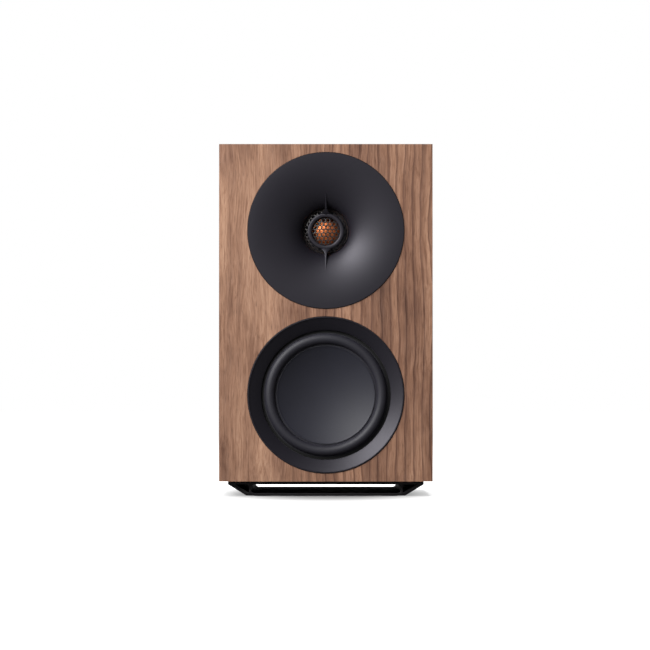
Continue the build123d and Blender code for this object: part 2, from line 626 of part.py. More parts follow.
def binding_posts():
    stem = disc(STEM_R, 214, STEM_END) - disc(SOCKET_R, STEM_END - SOCKET_LENGTH, STEM_END)
    stem = chamfer(stem.edges().group_by(Axis.Z)[-1].sort_by(SortBy.LENGTH)[-1], 0.4)
    collar = turned((STEM_R + 0.05, CUP_FLOOR - CUP_WALL), (4.5, CUP_FLOOR - CUP_WALL), (4.5, CUP_FLOOR),
                    (NUT_R, CUP_FLOOR), (NUT_R, COLLAR_END), (STEM_R + 0.05, COLLAR_END))
    hexagon = Pos(0, 0, 220.3) * extrude(RegularPolygon(5.2, 6), 3.2)
    tag = disc(4.6, 219.5, 220.3) + Pos(0, -7.0, 219.9) * Box(4.0, 10.0, 0.8)
    lock_nut = hexagon + tag - disc(STEM_R + 0.03, 214, 224)
    washer = tube(6.4, STEM_R + 0.08, COLLAR_END, WASHER_END)
    places = post_places()
    pieces = {
        "post_stems": group(place * stem for place in places.values()),
        "post_collars": group(place * collar for place in places.values()),
        "post_lock_nuts": group(place * lock_nut for place in places.values()),
    }
    for colour, place in places.items():
        pieces[colour + "_clamp_washer"] = place * washer
        pieces[colour + "_thumb_nut"] = place * thumb_nut()
    return pieces


# ---------------------------------------------------------------- crossover and wiring

def lying(radius, length, x, z, depth):
    """Round part lying along X."""
    return Pos(x, FRONT_Y + depth, z) * Rot(0, 90, 0) * Cylinder(radius, length)


def bobbin_coil(outer, inner, height):
    """Air-cored coil: a winding between two thin cheeks, standing on the board."""
    front = BOARD_FRONT - height
    coil = tube(outer, inner, front + 1.2, BOARD_FRONT - 1.2)
    cheeks = (tube(outer + 1, inner - 1.2, front, front + 1.2),
              tube(outer + 1, inner - 1.2, BOARD_FRONT - 1.2, BOARD_FRONT))
    return coil + tube(inner, inner - 1.2, front, BOARD_FRONT) + list(cheeks)


def crossover():
    board = block((-BOARD_HALF, BOARD_HALF), (BOARD_FRONT, BOARD_FRONT + BOARD_THICK), BOARD_Z)
    shank_r, length = BOARD_SCREW
    board -= [place * disc(shank_r + 0.1, 200, 240) for place in board_screw_places()]
    standoff = tube(3, shank_r + 0.05, BOARD_FRONT + BOARD_THICK, BACK_INNER)
    screw = Pos(0, 0, BOARD_FRONT) * pan_screw(shank_r, length)
    fixings = [place * piece for place in board_screw_places() for piece in (standoff, screw)]
    resistors = [block((-11, 11), (219, BOARD_FRONT), (z, z + 9)) for z in (102, 114)]
    return {
        "crossover_board": board,
        "board_fixings": group(fixings),
        "woofer_inductor": axis_at(-29, 130) * bobbin_coil(16, 8, 16),
        "tweeter_inductor": axis_at(-1, 145) * bobbin_coil(10, 5, 12),
        "film_capacitors": group([lying(7.0, 30, 30, 110, BOARD_FRONT - 7.0),
                                  lying(5.5, 28, 30, 125, BOARD_FRONT - 5.5)]),
        "electrolytic_capacitor": lying(9.0, 34, 30, 144, BOARD_FRONT - 9.0),
        "power_resistors": group(fillet(resistor.edges().filter_by(Axis.X), 1) for resistor in resistors),
    }


def swept_wire(points, radius):
    """Round wire along points given as X, depth and Z, each bend as wide as its two runs allow."""
    places = [Vector(x, FRONT_Y + depth, z) for x, depth, z in points]
    runs = [after - before for before, after in zip(places, places[1:])]
    bends = []
    for before, after in zip(runs, runs[1:]):
        half_turn = radians(before.get_angle(after) / 2)
        bends.append(0.45 * min(before.length, after.length) / tan(half_turn))
    route = FilletPolyline(*places, radius=bends)
    section = Plane(origin=route @ 0, z_dir=route % 0) * Circle(radius)
    return sweep(section, path=route)


def input_wires():
    red = [(9.525, 217.9, 73), (9.0, 216.5, 83), (-2.0, 217.0, 92), (-13.5, 219.0, 96.5), (-18, 227.2, 103)]
    black = [(-9.525, 217.9, 73), (-11.0, 215.5, 82), (-18.0, 215.5, 90), (-25, 219.0, 96.0),
             (-27, 227.2, 103)]
    return group([swept_wire(red, WIRE_R), swept_wire(black, WIRE_R)])


def driver_wires():
    """Pairs from the board to the two drivers; the tweeter's pair passes through the brace's right window."""
    wires = []
    for offset in (-2.2, 2.2):
        to_woofer = [(-41 + offset, 227.1, 107), (-42 + offset, 205, 110), (-47 + offset, 165, 126),
                     (-37 + offset, 120, 144), (-15 + offset, 76, 156), (offset * 2.3, 46, 160),
                     (offset * 2.3, 39.2, 152.6)]
        to_tweeter = [(36 + offset, 227.1, 157), (37 + offset, 203, 158.6), (39 + offset, 170, 164),
                      (37 + offset, 128, 188), (21 + offset, 86, 206), (offset * 1.8 + 3, 56, 211),
                      (offset * 1.8, 42.6, 215.2)]
        wires += [swept_wire(to_woofer, WIRE_R), swept_wire(to_tweeter, WIRE_R)]
    return group(wires)


# ---------------------------------------------------------------- foot

def foot_frame():
    """Extruded section, open right through: a wide window and a triangular cell at each end."""
    top = FOOT_HEIGHT - SPACER_THICK
    under_top = top - FOOT_PLATE
    over_base = PAD_THICK + FOOT_PLATE
    rib_inner = RIB_OUTER - RIB_THICK
    outer = make_face(Polyline((-FOOT_TOP_HALF, top), (FOOT_TOP_HALF, top), (FOOT_TOP_HALF, under_top),
                               (FOOT_BASE_HALF, PAD_THICK), (-FOOT_BASE_HALF, PAD_THICK),
                               (-FOOT_TOP_HALF, under_top), close=True))
    outer = fillet(outer.vertices().group_by(Axis.Y)[0], 1.5)
    window = RectangleRounded(2 * rib_inner, under_top - over_base, FOOT_CORNER)
    section = outer - Pos(0, (under_top + over_base) / 2) * window
    for side in (-1, 1):
        section -= make_face(Polyline((side * RIB_OUTER, under_top), (side * CELL_OUTER, under_top),
                                      (side * RIB_OUTER, CELL_FLOOR), close=True))
    frame = extrude(Plane.XZ * section, -(FOOT_END - FOOT_START))
    frame = Pos(0, FRONT_Y + FOOT_START, 0) * frame
    for x, y in foot_screw_places():
        frame -= Pos(x, y, under_top) * countersunk_hole(*FOOT_SCREW)
        frame -= Pos(x, y, PAD_THICK) * Cylinder(6, 6)
    return frame


def foot_pieces():
    underside = FOOT_HEIGHT - SPACER_THICK - FOOT_PLATE
    spacers, screws, pads = [], [], []
    for x, y in foot_screw_places():
        spacer = Cylinder(7, SPACER_THICK) - Cylinder(2.8, SPACER_THICK)
        spacers.append(Pos(x, y, FOOT_HEIGHT - SPACER_THICK / 2) * spacer)
        screws.append(Pos(x, y, underside) * countersunk_screw(*FOOT_SCREW))
    for x in (-PAD_X, PAD_X):
        for depth in PAD_DEPTHS:
            pads.append(Pos(x, FRONT_Y + depth, PAD_THICK / 2) * Cylinder(8, PAD_THICK))
    return {"foot_frame": foot_frame(), "foot_spacers": group(spacers), "foot_screws": group(screws),
            "foot_pads": group(pads)}


def nodes():
    pieces = {
        "front_baffle": front_baffle(), "back_panel": back_panel(), "window_brace": window_brace(),
        "acoustic_wadding": acoustic_wadding(), "tweeter_waveguide": tweeter_waveguide(),
        "tweeter_mesh": tweeter_mesh(), "tweeter_phase_ring": tweeter_phase_ring(),
        "tweeter_dome": tweeter_dome(), "tweeter_screws": tweeter_screws(),
        "woofer_trim_ring": woofer_trim_ring(), "woofer_basket": woofer_basket(),
        "woofer_cone": woofer_cone(), "woofer_spider": woofer_spider(), "woofer_screws": woofer_screws(),
        "woofer_tinsel_leads": tinsel_leads(), "driver_terminals": driver_terminals(),
        "driver_gaskets": driver_gaskets(), "port_flare": port_flare(), "port_tube": port_tube(),
        "terminal_cup": terminal_cup(), "rear_panel_screws": rear_panel_screws(),
        "input_wires": input_wires(), "driver_wires": driver_wires(),
    }
    for family in (cabinet_shell(), tweeter_pieces(), woofer_pieces(), binding_posts(), crossover(),
                   foot_pieces()):
        pieces.update(family)
    return pieces


os.makedirs("parts", exist_ok=True)
for name, piece in nodes().items():
    export_step(piece, "parts/" + name + ".step")
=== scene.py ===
import json
import math

import bmesh
import bpy
import numpy as np
from mathutils import Matrix, Vector, noise


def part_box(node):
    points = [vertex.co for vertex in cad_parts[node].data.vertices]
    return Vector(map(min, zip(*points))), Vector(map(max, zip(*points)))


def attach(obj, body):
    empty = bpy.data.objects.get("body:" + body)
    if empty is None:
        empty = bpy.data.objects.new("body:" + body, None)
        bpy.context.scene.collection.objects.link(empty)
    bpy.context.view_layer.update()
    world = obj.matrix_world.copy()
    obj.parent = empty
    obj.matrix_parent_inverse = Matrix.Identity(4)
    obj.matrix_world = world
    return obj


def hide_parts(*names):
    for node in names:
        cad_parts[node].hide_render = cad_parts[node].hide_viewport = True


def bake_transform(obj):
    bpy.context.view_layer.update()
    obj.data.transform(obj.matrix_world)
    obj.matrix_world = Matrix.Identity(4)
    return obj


# Two-way bookshelf speaker: walnut cabinet, flared horn over a dish-cone woofer, low extruded foot.
# Metres, front towards -Y. "Depth" is the distance behind the baffle's front face.

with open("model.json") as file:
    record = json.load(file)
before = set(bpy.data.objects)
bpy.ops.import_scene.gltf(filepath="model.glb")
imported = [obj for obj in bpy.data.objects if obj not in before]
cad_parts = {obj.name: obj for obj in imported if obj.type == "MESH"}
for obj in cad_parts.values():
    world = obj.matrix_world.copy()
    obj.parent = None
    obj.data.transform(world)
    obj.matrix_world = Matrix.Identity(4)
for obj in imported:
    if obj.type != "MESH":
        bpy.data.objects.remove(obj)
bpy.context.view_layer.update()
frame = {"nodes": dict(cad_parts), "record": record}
mm = 0.001
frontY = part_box("front_baffle")[0].y
hornZ = sum(corner.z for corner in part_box("tweeter_waveguide")) / 2
wooferZ = sum(corner.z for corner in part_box("woofer_trim_ring")) / 2
portZ = sum(corner.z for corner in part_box("port_flare")) / 2
print("frame loaded, baffle at", round(frontY, 4))


# ---- camera, floor and lights

camera = {"distance": 3.1, "height": 0.095, "aimHeight": 0.1604, "across": -0.0008, "lens": 183.5}
# the floor's glow is low near the foot, a painted contact shadow, and high far from it
floor = {"size": 30.0, "colour": "#8c8c8c", "bounce": "#5a5a5a", "paintedShadowGlow": 0.05, "glowFar": 1.0,
         "centre": (0.0, -0.04, 0.0), "reach": (0.14, 0.3, 1.0), "near": 0.3, "far": 1.0}
lights = {
    "keySoftbox": {"place": (-1.1, -1.18, 1.2), "size": (1.3, 1.3), "power": 75.0, "aim": (0, -0.1, 0.24)},
    "backSoftbox": {"place": (0.0, 1.3, 2.1), "size": (1.1, 0.9), "power": 150.0, "aim": (0, 0, 0.1)},
    "fillCard": {"place": (1.7, -2.6, 0.55), "size": (1.6, 1.3), "power": 5.0, "aim": (0, -0.1, 0.16)},
}
backdrop = {"seen": 1.0, "glow": 0.06}


def linear(hexColour):
    channels = [int(hexColour[i:i + 2], 16) / 255 for i in (1, 3, 5)]
    return tuple(c / 12.92 if c <= 0.04045 else ((c + 0.055) / 1.055) ** 2.4 for c in channels) + (1.0,)


def addNode(tree, kind, settings=None, inputs=None):
    node = tree.nodes.new(kind)
    for key, value in (settings or {}).items():
        setattr(node, key, value)
    for key, value in (inputs or {}).items():
        if isinstance(value, bpy.types.NodeSocket):
            tree.links.new(value, node.inputs[key])
        else:
            node.inputs[key].default_value = value
    return node


def aimAt(thing, target):
    direction = Vector(target) - thing.location
    thing.rotation_euler = direction.to_track_quat("-Z", "Y").to_euler()


def makeCamera():
    lens = bpy.data.cameras.new("camera")
    lens.lens = camera["lens"]
    lens.sensor_width = 36.0
    lens.clip_end = 60
    eye = bpy.data.objects.new("camera", lens)
    bpy.context.collection.objects.link(eye)
    eye.location = (camera["across"], frontY - camera["distance"], camera["height"])
    aimAt(eye, (camera["across"], frontY, camera["aimHeight"]))
    bpy.context.scene.camera = eye


def makeLights():
    for name, spec in lights.items():
        lamp = bpy.data.lights.new(name, "AREA")
        lamp.shape = "RECTANGLE"
        lamp.size, lamp.size_y = spec["size"]
        lamp.energy = spec["power"]
        holder = bpy.data.objects.new(name, lamp)
        bpy.context.collection.objects.link(holder)
        holder.location = spec["place"]
        aimAt(holder, spec["aim"])


def makeBackdrop():
    world = bpy.data.worlds.new("studio")
    bpy.context.scene.world = world
    world.use_nodes = True
    tree = world.node_tree
    tree.nodes.clear()
    ray = addNode(tree, "ShaderNodeLightPath")
    glow = addNode(tree, "ShaderNodeBackground", inputs={"Strength": backdrop["glow"]})
    seen = addNode(tree, "ShaderNodeBackground", inputs={"Strength": backdrop["seen"]})
    both = addNode(tree, "ShaderNodeMixShader", inputs={
        0: ray.outputs["Is Camera Ray"], 1: glow.outputs[0], 2: seen.outputs[0]})
    glow.inputs["Color"].default_value = (1, 1, 1, 1)
    seen.inputs["Color"].default_value = (1, 1, 1, 1)
    addNode(tree, "ShaderNodeOutputWorld", inputs={"Surface": both.outputs[0]})
    bpy.context.scene.view_settings.view_transform = "Standard"


def makeFloor():
    bm = bmesh.new()
    bmesh.ops.create_grid(bm, x_segments=2, y_segments=2, size=floor["size"] / 2)
    mesh = bpy.data.meshes.new("floor")
    bm.to_mesh(mesh)
    bm.free()
    ground = bpy.data.objects.new("floor", mesh)
    bpy.context.collection.objects.link(ground)
    # seamless white paper with a painted contact shadow: its glow is kept low in an oval round the foot, and
    # lit up outside the oval so that it has no horizon
    material = bpy.data.materials.new("seamless white paper")
    material.use_nodes = True
    tree = material.node_tree
    shader = tree.nodes["Principled BSDF"]
    shader.inputs["Base Color"].default_value = linear(floor["colour"])
    shader.inputs["Roughness"].default_value = 0.85
    shader.inputs["Emission Color"].default_value = (1, 1, 1, 1)
    coords = addNode(tree, "ShaderNodeTexCoord").outputs["Object"]
    moved = addNode(tree, "ShaderNodeVectorMath", {"operation": "SUBTRACT"}, {0: coords, 1: floor["centre"]})
    oval = addNode(tree, "ShaderNodeVectorMath", {"operation": "DIVIDE"},
                   {0: moved.outputs[0], 1: floor["reach"]}).outputs[0]
    away = addNode(tree, "ShaderNodeVectorMath", {"operation": "LENGTH"}, {0: oval}).outputs["Value"]
    glow = addNode(tree, "ShaderNodeMapRange", {"interpolation_type": "SMOOTHSTEP"}, {
        "Value": away, "From Min": floor["near"], "From Max": floor["far"], "To Min": floor["paintedShadowGlow"],
        "To Max": floor["glowFar"]})
    tree.links.new(glow.outputs[0], shader.inputs["Emission Strength"])
    # the paper throws little light back at the object, as black flags beside a studio table would have it
    flagged = addNode(tree, "ShaderNodeBsdfDiffuse")
    flagged.inputs["Color"].default_value = linear(floor["bounce"])
    ray = addNode(tree, "ShaderNodeLightPath").outputs["Is Camera Ray"]
    paper = addNode(tree, "ShaderNodeMixShader", inputs={0: ray, 1: flagged.outputs[0], 2: shader.outputs[0]})
    tree.links.new(paper.outputs[0], tree.nodes["Material Output"].inputs["Surface"])
    mesh.materials.append(material)


makeCamera()
makeLights()
makeBackdrop()
makeFloor()
print("camera and lights set")


# ---- materials

def startMaterial(name, colour, roughness, metallic=0.0, **sockets):
    material = bpy.data.materials.new(name)
    material.use_nodes = True
    tree = material.node_tree
    shader = tree.nodes["Principled BSDF"]
    shader.inputs["Base Color"].default_value = linear(colour)
    shader.inputs["Roughness"].default_value = roughness
    shader.inputs["Metallic"].default_value = metallic
    for socket, value in sockets.items():
        shader.inputs[socket.replace("_", " ")].default_value = value
    coords = addNode(tree, "ShaderNodeTexCoord").outputs["Object"]
    return material, tree, shader, coords


def patternSize(tree, coords, size):
    # scales the coordinates so that a pattern's cells are this many millimetres along X, Y and Z
    scale = tuple(1000.0 / s for s in size)
    mapping = addNode(tree, "ShaderNodeMapping", {"vector_type": "POINT"}, {"Vector": coords, "Scale": scale})
    return mapping.outputs[0]


def waveScale(spacing):
    # a wave texture at scale 1 repeats every 2 pi / 20
    return 2 * math.pi / (20 * spacing * mm)


def setRamp(node, stops):
    ramp = node.color_ramp
    while len(ramp.elements) < len(stops):
        ramp.elements.new(0.5)
    for element, (position, colour) in zip(ramp.elements, stops):
        element.position = position
        element.color = linear(colour)
    return node.outputs["Color"]


def bumpInto(tree, shader, height, strength, depth):
    bump = addNode(tree, "ShaderNodeBump",
                   inputs={"Height": height, "Strength": strength, "Distance": depth * mm})
    tree.links.new(bump.outputs[0], shader.inputs["Normal"])


def mixColours(tree, kind, amount, below, above):
    node = addNode(tree, "ShaderNodeMix", {"data_type": "RGBA", "blend_type": kind})
    for socket, value in (("Factor", amount), ("A", below), ("B", above)):
        target = [i for i in node.inputs if i.name == socket and i.enabled][0]
        if isinstance(value, bpy.types.NodeSocket):
            tree.links.new(value, target)
        else:
            target.default_value = value
    return [o for o in node.outputs if o.enabled][0]


# pattern sizes are in millimetres across, across and along the grain
# the pale grey-pink shade below is painted shade, laid over the leaf towards its right
walnut = {"dark": "#7e6050", "brown": "#a07c66", "tan": "#b8937a", "pale": "#c7a086", "pore": "#4c362c",
          "ringShade": "#a89ca0", "paintedSideShade": "#f4efed", "cutColour": "#2c1d18", "ringSpacing": 8.2,
          "drift": (40, 40, 110), "sway": 15, "bands": (17, 17, 520), "clouds": (24, 24, 95),
          "fibres": (1.1, 1.1, 34), "pores": (0.8, 0.8, 11), "crowdAndShadeFrom": -60, "crowdAndShadeTo": 10,
          "cutRadius": 73.3, "cutWidth": 0.55}


def ringAround(tree, coords, height, radius, width):
    # 1 inside a thin ring about a driver's axis, seen from the front, and 0 elsewhere
    flat = addNode(tree, "ShaderNodeVectorMath", {"operation": "MULTIPLY_ADD"},
                   {0: coords, 1: (1, 0, 1), 2: (0, 0, -height)}).outputs[0]
    reach = addNode(tree, "ShaderNodeVectorMath", {"operation": "LENGTH"}, {0: flat}).outputs["Value"]
    gap = addNode(tree, "ShaderNodeMath", {"operation": "SUBTRACT"}, {0: reach, 1: radius * mm}).outputs[0]
    size = addNode(tree, "ShaderNodeMath", {"operation": "ABSOLUTE"}, {0: gap}).outputs[0]
    return addNode(tree, "ShaderNodeMapRange", inputs={
        "Value": size, "From Min": width * 0.4 * mm, "From Max": width * mm, "To Min": 1.0,
        "To Max": 0.0}).outputs[0]


def alongTheGrain(tree, coords):
    # turns the pattern to suit each face: X is across the grain and Z along it. The grain stands upright on
    # the front, back and sides, and wraps over from side to side on the top and bottom.
    xyz = addNode(tree, "ShaderNodeSeparateXYZ", inputs={0: coords}).outputs
    facing = addNode(tree, "ShaderNodeTexCoord").outputs["Normal"]
    size = addNode(tree, "ShaderNodeVectorMath", {"operation": "ABSOLUTE"}, {0: facing}).outputs[0]
    part = addNode(tree, "ShaderNodeSeparateXYZ", inputs={0: size}).outputs
    onSide = addNode(tree, "ShaderNodeMath", {"operation": "GREATER_THAN"}, {0: part["X"], 1: 0.7}).outputs[0]
    onTop = addNode(tree, "ShaderNodeMath", {"operation": "GREATER_THAN"}, {0: part["Z"], 1: 0.7}).outputs[0]
    sideways = addNode(tree, "ShaderNodeCombineXYZ", inputs={0: xyz["Y"], 1: xyz["X"], 2: xyz["Z"]})
    flatways = addNode(tree, "ShaderNodeCombineXYZ", inputs={0: xyz["Y"], 1: xyz["Z"], 2: xyz["X"]})
    # 4 and 5 are the vector mix's own A and B, and output 1 is its vector result
    turnedOnce = addNode(tree, "ShaderNodeMix", {"data_type": "VECTOR"},
                         {"Factor": onSide, 4: coords, 5: sideways.outputs[0]}).outputs[1]
    return addNode(tree, "ShaderNodeMix", {"data_type": "VECTOR"},
                   {"Factor": onTop, 4: turnedOnce, 5: flatways.outputs[0]}).outputs[1]


def walnutVeneer(name, cutRings=False):
    # Oiled walnut veneer: growth lines with one hard dark edge, fibre streaks and short open pores.
    # Pores and fibre streaks are drawn coarser than real ones, which are too fine to show.
    material, tree, shader, coords = startMaterial(name, walnut["brown"], 0.5, Specular_IOR_Level=0.3)
    place = coords
    coords = alongTheGrain(tree, coords)
    drift = addNode(tree, "ShaderNodeTexNoise", inputs={
        "Vector": patternSize(tree, coords, walnut["drift"]), "Scale": 1.0, "Detail": 3.0, "Roughness": 0.5})
    centred = addNode(tree, "ShaderNodeVectorMath", {"operation": "SUBTRACT"},
                      {0: drift.outputs["Color"], 1: (0.5, 0.5, 0.5)})
    sway = addNode(tree, "ShaderNodeVectorMath", {"operation": "MULTIPLY"},
                   {0: centred.outputs[0], 1: (walnut["sway"] * mm, walnut["sway"] * mm, 0.0)})
    swayed = addNode(tree, "ShaderNodeVectorMath", {"operation": "ADD"},
                     {0: coords, 1: sway.outputs[0]}).outputs[0]
    bands = addNode(tree, "ShaderNodeTexNoise", inputs={
        "Vector": patternSize(tree, swayed, walnut["bands"]), "Scale": 1.0, "Detail": 3.0, "Roughness": 0.55})
    tone = setRamp(addNode(tree, "ShaderNodeValToRGB", inputs={"Fac": bands.outputs["Fac"]}),
                   [(0.26, walnut["dark"]), (0.42, walnut["brown"]), (0.58, walnut["tan"]),
                    (0.76, walnut["pale"])])
    cloud = addNode(tree, "ShaderNodeTexNoise", inputs={
        "Vector": patternSize(tree, swayed, walnut["clouds"]), "Scale": 1.0, "Detail": 3.0, "Roughness": 0.6})
    cloudTone = setRamp(addNode(tree, "ShaderNodeValToRGB", inputs={"Fac": cloud.outputs["Fac"]}),
                        [(0.30, "#b9aeae"), (0.52, "#f3f0ee"), (0.72, "#ffffff")])
    shaded = mixColours(tree, "MULTIPLY", 0.9, tone, cloudTone)
    ringWave = {"wave_type": "BANDS", "bands_direction": "X", "wave_profile": "SAW"}
    rings = addNode(tree, "ShaderNodeTexWave", ringWave, {
        "Vector": swayed, "Scale": waveScale(walnut["ringSpacing"]), "Distortion": 1.2,
        "Detail": 2.0, "Detail Scale": 0.3, "Detail Roughness": 0.4})
    ringEdge = setRamp(addNode(tree, "ShaderNodeValToRGB", inputs={"Fac": rings.outputs["Fac"]}),
                       [(0.0, "#ffffff"), (0.12, "#b8b8b8"), (0.34, "#4a4a4a"), (0.8, "#000000"),
                        (0.93, "#303030"), (1.0, "#ffffff")])
    # the growth lines are faint on the left of the leaf and crowd in towards its right; the same share paints
    # shade over the leaf, darker towards its right, as if the light fell from the left
    across = addNode(tree, "ShaderNodeSeparateXYZ", inputs={0: coords}).outputs["X"]
    ringCrowdAndShade = addNode(tree, "ShaderNodeMapRange", {"interpolation_type": "SMOOTHSTEP"}, {
        "Value": across, "From Min": walnut["crowdAndShadeFrom"] * mm, "From Max": walnut["crowdAndShadeTo"] * mm,
        "To Min": 0.12, "To Max": 0.9}).outputs[0]
    ringAmount = addNode(tree, "ShaderNodeMath", {"operation": "MULTIPLY"},
                         {0: ringEdge, 1: ringCrowdAndShade}).outputs[0]
    # painted shade: the leaf is darkened towards its right, as if lit from the left
    sideShaded = mixColours(tree, "MULTIPLY", ringCrowdAndShade, shaded, linear(walnut["paintedSideShade"]))
    banded = mixColours(tree, "MULTIPLY", ringAmount, sideShaded, linear(walnut["ringShade"]))
    fibres = addNode(tree, "ShaderNodeTexNoise", inputs={
        "Vector": patternSize(tree, swayed, walnut["fibres"]), "Scale": 1.0, "Detail": 3.0, "Roughness": 0.7})
    fibreTone = setRamp(addNode(tree, "ShaderNodeValToRGB", inputs={"Fac": fibres.outputs["Fac"]}),
                        [(0.32, "#b5a59c"), (0.5, "#e6dfda"), (0.68, "#ffffff")])
    fibred = mixColours(tree, "MULTIPLY", 0.9, banded, fibreTone)
    pores = addNode(tree, "ShaderNodeTexNoise", inputs={
        "Vector": patternSize(tree, coords, walnut["pores"]), "Scale": 1.0, "Detail": 1.0, "Roughness": 0.5})
    poreMask = addNode(tree, "ShaderNodeMapRange", inputs={
        "Value": pores.outputs["Fac"], "From Min": 0.6, "From Max": 0.74, "To Min": 0.0,
        "To Max": 0.5}).outputs[0]
    finished = mixColours(tree, "MIX", poreMask, fibred, linear(walnut["pore"]))
    if cutRings:
        # the veneer's cut edge is dark where the two mouldings are let in
        for height in (hornZ, wooferZ):
            rim = ringAround(tree, place, height, walnut["cutRadius"], walnut["cutWidth"])
            finished = mixColours(tree, "MIX", rim, finished, linear(walnut["cutColour"]))
    tree.links.new(finished, shader.inputs["Base Color"])
    gloss = addNode(tree, "ShaderNodeMapRange", inputs={
        "Value": fibres.outputs["Fac"], "To Min": 0.44, "To Max": 0.62})
    tree.links.new(gloss.outputs[0], shader.inputs["Roughness"])
    sunk = addNode(tree, "ShaderNodeMath", {"operation": "SUBTRACT"}, {0: fibres.outputs["Fac"], 1: poreMask})
    bumpInto(tree, shader, sunk.outputs[0], 0.35, 0.06)
    return material


def speckled(name, colour, roughness, grain, depth, metallic=0.0, swing=0.06, **sockets):
    # shared by the plain moulded, cast and plated finishes: a fine grain in the gloss and the surface
    material, tree, shader, coords = startMaterial(name, colour, roughness, metallic, **sockets)
    grainNoise = addNode(tree, "ShaderNodeTexNoise", inputs={
        "Vector": patternSize(tree, coords, (grain,) * 3), "Scale": 1.0, "Detail": 3.0, "Roughness": 0.6})
    shade = addNode(tree, "ShaderNodeTexNoise", inputs={
        "Vector": patternSize(tree, coords, (grain * 30,) * 3), "Scale": 1.0, "Detail": 2.0})
    base = linear(colour)
    low = tuple(c * (1 - swing * 2) for c in base[:3]) + (1.0,)
    high = tuple(min(1.0, c * (1 + swing * 2)) for c in base[:3]) + (1.0,)
    tree.links.new(mixColours(tree, "MIX", shade.outputs["Fac"], low, high), shader.inputs["Base Color"])
    gloss = addNode(tree, "ShaderNodeMapRange", inputs={
        "Value": grainNoise.outputs["Fac"], "To Min": roughness - swing, "To Max": roughness + swing})
    tree.links.new(gloss.outputs[0], shader.inputs["Roughness"])
    bumpInto(tree, shader, grainNoise.outputs["Fac"], 0.5, depth)
    return material


def mouldedAbs():
    # ABS with a fine spark-eroded texture: a soft wide highlight, never mirror-like
    return speckled("satin moulded ABS", "#121017", 0.5, 0.5, 0.012, Specular_IOR_Level=0.5,
                    Specular_Tint=linear("#efecf6"))


def coatedCone():
    # Mineral-filled polypropylene dish with a satin lacquer, slightly blue
    return speckled("lacquered polypropylene cone", "#1d1d27", 0.6, 0.7, 0.01, Specular_IOR_Level=0.42)


# the near-black colour of the rubber lip in the gap under the trim ring is a painted shadow
shadedRubberLip = {"radius": 59.7, "width": 2.3, "colour": "#040405", "roughness": 0.95}


def nitrileRubber():
    # Nitrile rubber: smooth from the mould, dull, a little sheen on its curves
    material = speckled("nitrile rubber", "#1e1d25", 0.58, 0.6, 0.01, Specular_IOR_Level=0.4)
    tree = material.node_tree
    shader = tree.nodes["Principled BSDF"]
    coords = addNode(tree, "ShaderNodeTexCoord").outputs["Object"]
    # the lip outside the roll lies in the gap under the trim ring; its colour there is a painted shadow, near
    # black, and it is made rougher
    lip = ringAround(tree, coords, wooferZ, shadedRubberLip["radius"], shadedRubberLip["width"])
    plainColour = shader.inputs["Base Color"].links[0].from_socket
    plainGloss = shader.inputs["Roughness"].links[0].from_socket
    lipPaintedShadow = mixColours(tree, "MIX", lip, plainColour, linear(shadedRubberLip["colour"]))
    tree.links.new(lipPaintedShadow, shader.inputs["Base Color"])
    matt = addNode(tree, "ShaderNodeMapRange", inputs={
        "Value": lip, "To Min": plainGloss, "To Max": shadedRubberLip["roughness"]})
    tree.links.new(matt.outputs[0], shader.inputs["Roughness"])
    return material


def anodisedFoot():
    # Bead-blasted extrusion, anodised black
    return speckled("black anodised aluminium", "#161116", 0.45, 0.35, 0.01)


def powderCoat():
    # Powder coat on a die-cast frame: fine orange peel
    return speckled("powder-coated casting", "#242427", 0.5, 1.2, 0.03)


def guardCoatWithPaintedReflection():
    # Stamped steel guard, dipped black, with a red tint in its colour that is a painted reflection of the
    # copper dome behind it
    return speckled("black coated steel guard with painted copper reflection", "#211b1b", 0.42, 0.4, 0.004)


def copperDome():
    # Copper-anodised metal dome, spun and polished
    return speckled("copper anodised dome", "#ff965c", 0.54, 1.5, 0.003, metallic=1.0, swing=0.04)


def zincPlate():
    # Bright zinc on turned steel
    return speckled("bright zinc plate", "#b9bbb8", 0.34, 0.8, 0.01, metallic=1.0)


def goldPlate():
    # Polished brass under bright gold plate
    return speckled("gold plated brass", "#e2b25a", 0.2, 0.8, 0.004, metallic=1.0)


def tinPlate():
    # Dull silver, faintly warm
    return speckled("tin plated brass", "#cfcab8", 0.32, 0.6, 0.008, metallic=1.0)


def turnedAluminium():
    # Bright, with fine tool marks
    return speckled("turned aluminium", "#d3d4d6", 0.3, 0.5, 0.01, metallic=1.0)


def blackOxide():
    return speckled("black oxide steel", "#17171a", 0.38, 0.4, 0.01, metallic=0.7)  # oily dark screw finish


def ferrite():
    return speckled("sintered ferrite", "#39393c", 0.7, 0.6, 0.05)  # chalky dark grey ceramic


def foamGasket():
    return speckled("closed-cell foam", "#1f1f20", 0.85, 0.7, 0.15)  # matt with visible cells


def redCap():
    # Glossy saturated cap
    return speckled("red moulded acrylic", "#a3141a", 0.22, 0.8, 0.006, Coat_Weight=0.3)


def blackCap():
    # Glossy black cap
    return speckled("black moulded acrylic", "#141416", 0.24, 0.8, 0.006, Coat_Weight=0.3)


def fibreboard():
    return speckled("raw fibreboard", "#a98a68", 0.85, 0.9, 0.08, swing=0.08)  # felted tan fibre


def boardLaminate():
    return speckled("solder-masked laminate", "#14492c", 0.4, 1.0, 0.02)  # green glass-epoxy board


def capacitorTape():
    return speckled("polyester tape wrap", "#d9b53a", 0.45, 2.0, 0.03)  # yellow tape over wound film


def capacitorSleeve():
    return speckled("shrink sleeve", "#1b2746", 0.3, 2.0, 0.01)  # navy PVC sleeve over a can


def castCement():
    return speckled("ceramic cement", "#e6e3da", 0.8, 0.8, 0.06)  # white gritty resistor body


def wireInsulation():
    return speckled("PVC insulation", "#8e1a1d", 0.38, 0.8, 0.01)  # soft red PVC


def amberFilm():
    return speckled("polyimide film", "#a8601c", 0.3, 1.0, 0.004)  # glossy amber former


